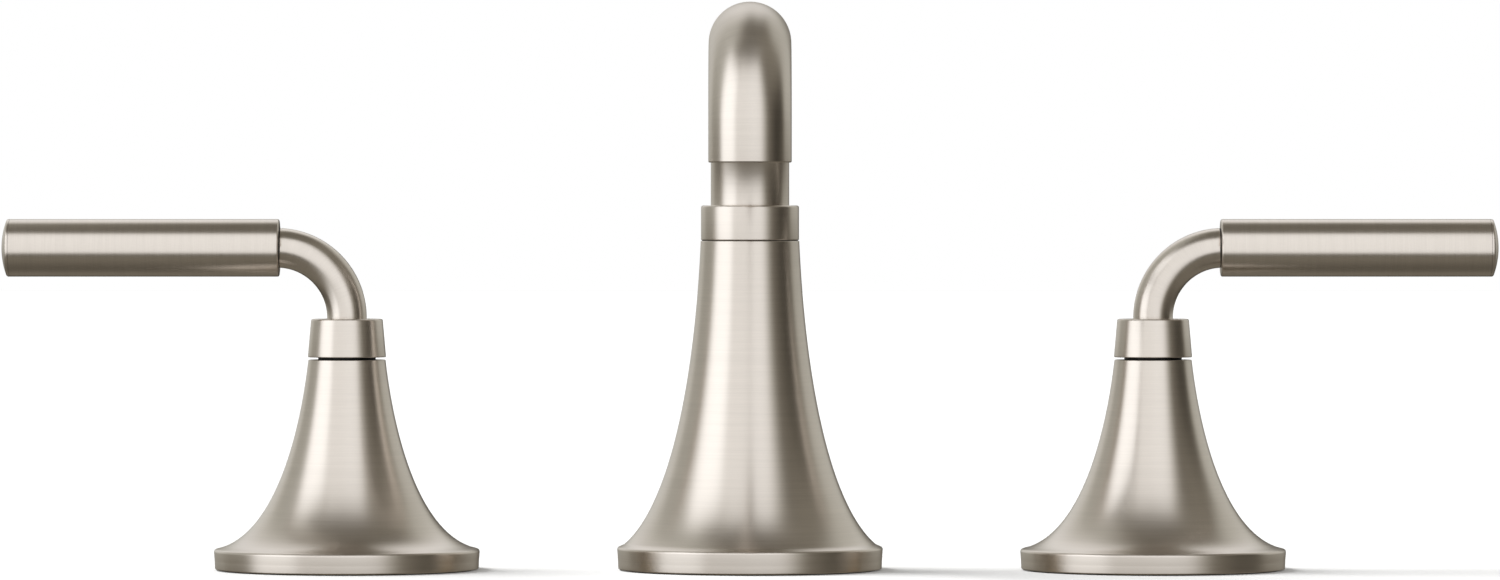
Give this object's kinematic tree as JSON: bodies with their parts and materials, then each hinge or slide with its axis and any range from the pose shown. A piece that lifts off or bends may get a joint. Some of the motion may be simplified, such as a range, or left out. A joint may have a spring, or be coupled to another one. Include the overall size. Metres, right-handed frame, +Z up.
{
  "type": "widespread bathroom faucet",
  "caption": "Widespread basin faucet: arched swivel spout between two flared lever handles, each on its own trumpet-shaped escutcheon, with the clamping hardware below the deck.",
  "frame": {"origin": "centre of the spout's foot at the top of the deck", "axes": "+X to the right from the hot handle to the cold handle, -Y towards the user along the spout, +Z up; the deck's top face is Z = 0"},
  "size_m": [0.3772, 0.1734, 0.2167],
  "materials": {
    "brushed_nickel": "warm nickel, finely brushed round each piece",
    "raw_brass": "turned brass",
    "plain_steel": "bare stainless steel",
    "black_rubber": "matt black rubber",
    "black_plastic": "satin black moulding",
    "white_nylon": "natural nylon",
    "ceramic": "lapped ceramic"
  },
  "bodies": {
    "fixed": {"spout_base": "brushed_nickel", "spout_base_gasket": "black_rubber", "spout_thrust_washer": "black_plastic", "spout_swivel_bushing": "white_nylon", "spout_o_ring_lower": "black_rubber", "spout_o_ring_upper": "black_rubber", "spout_shank": "raw_brass", "spout_rubber_washer": "black_rubber", "spout_steel_washer": "plain_steel", "spout_mounting_nut": "raw_brass", "spout_tee": "raw_brass", "hot_escutcheon": "brushed_nickel", "hot_escutcheon_gasket": "black_rubber", "hot_valve_body": "raw_brass", "hot_upper_nut": "raw_brass", "hot_rubber_washer": "black_rubber", "hot_steel_washer": "plain_steel", "hot_mounting_nut": "raw_brass", "hot_bonnet_nut": "raw_brass", "hot_cartridge": "raw_brass", "hot_seat_seal": "black_rubber", "hot_fixed_disc": "ceramic", "cold_escutcheon": "brushed_nickel", "cold_escutcheon_gasket": "black_rubber", "cold_valve_body": "raw_brass", "cold_upper_nut": "raw_brass", "cold_rubber_washer": "black_rubber", "cold_steel_washer": "plain_steel", "cold_mounting_nut": "raw_brass", "cold_bonnet_nut": "raw_brass", "cold_cartridge": "raw_brass", "cold_seat_seal": "black_rubber", "cold_fixed_disc": "ceramic"},
    "swivel_spout": {"spout_tube": "brushed_nickel", "spout_collar": "brushed_nickel", "spout_retaining_clip": "plain_steel", "aerator_housing": "brushed_nickel", "aerator_insert": "white_nylon", "aerator_washer": "black_rubber"},
    "hot_lever": {"hot_spindle": "raw_brass", "hot_spindle_o_ring": "black_rubber", "hot_moving_disc": "ceramic", "hot_hub_insert": "black_plastic", "hot_hub": "brushed_nickel", "hot_set_screw": "plain_steel", "hot_lever_arm": "brushed_nickel", "hot_reveal_ring": "black_plastic", "hot_lever_grip": "brushed_nickel", "hot_lever_cap": "brushed_nickel"},
    "cold_lever": {"cold_spindle": "raw_brass", "cold_spindle_o_ring": "black_rubber", "cold_moving_disc": "ceramic", "cold_hub_insert": "black_plastic", "cold_hub": "brushed_nickel", "cold_set_screw": "plain_steel", "cold_lever_arm": "brushed_nickel", "cold_reveal_ring": "black_plastic", "cold_lever_grip": "brushed_nickel", "cold_lever_cap": "brushed_nickel"}
  },
  "joints": [
    {"name": "spout_swivel", "type": "hinge", "parent": "fixed", "child": "swivel_spout", "pos_m": [0, 0, 0.083], "axis": [0, 0, 1], "range_deg": [-60, 60]},
    {"name": "hot_lever_turn", "type": "hinge", "parent": "fixed", "child": "hot_lever", "pos_m": [-0.1016, 0, 0.053], "axis": [0, 0, 1], "range_deg": [0, 90]},
    {"name": "cold_lever_turn", "type": "hinge", "parent": "fixed", "child": "cold_lever", "pos_m": [0.1016, 0, 0.053], "axis": [0, 0, 1], "range_deg": [-90, 0]}
  ]
}
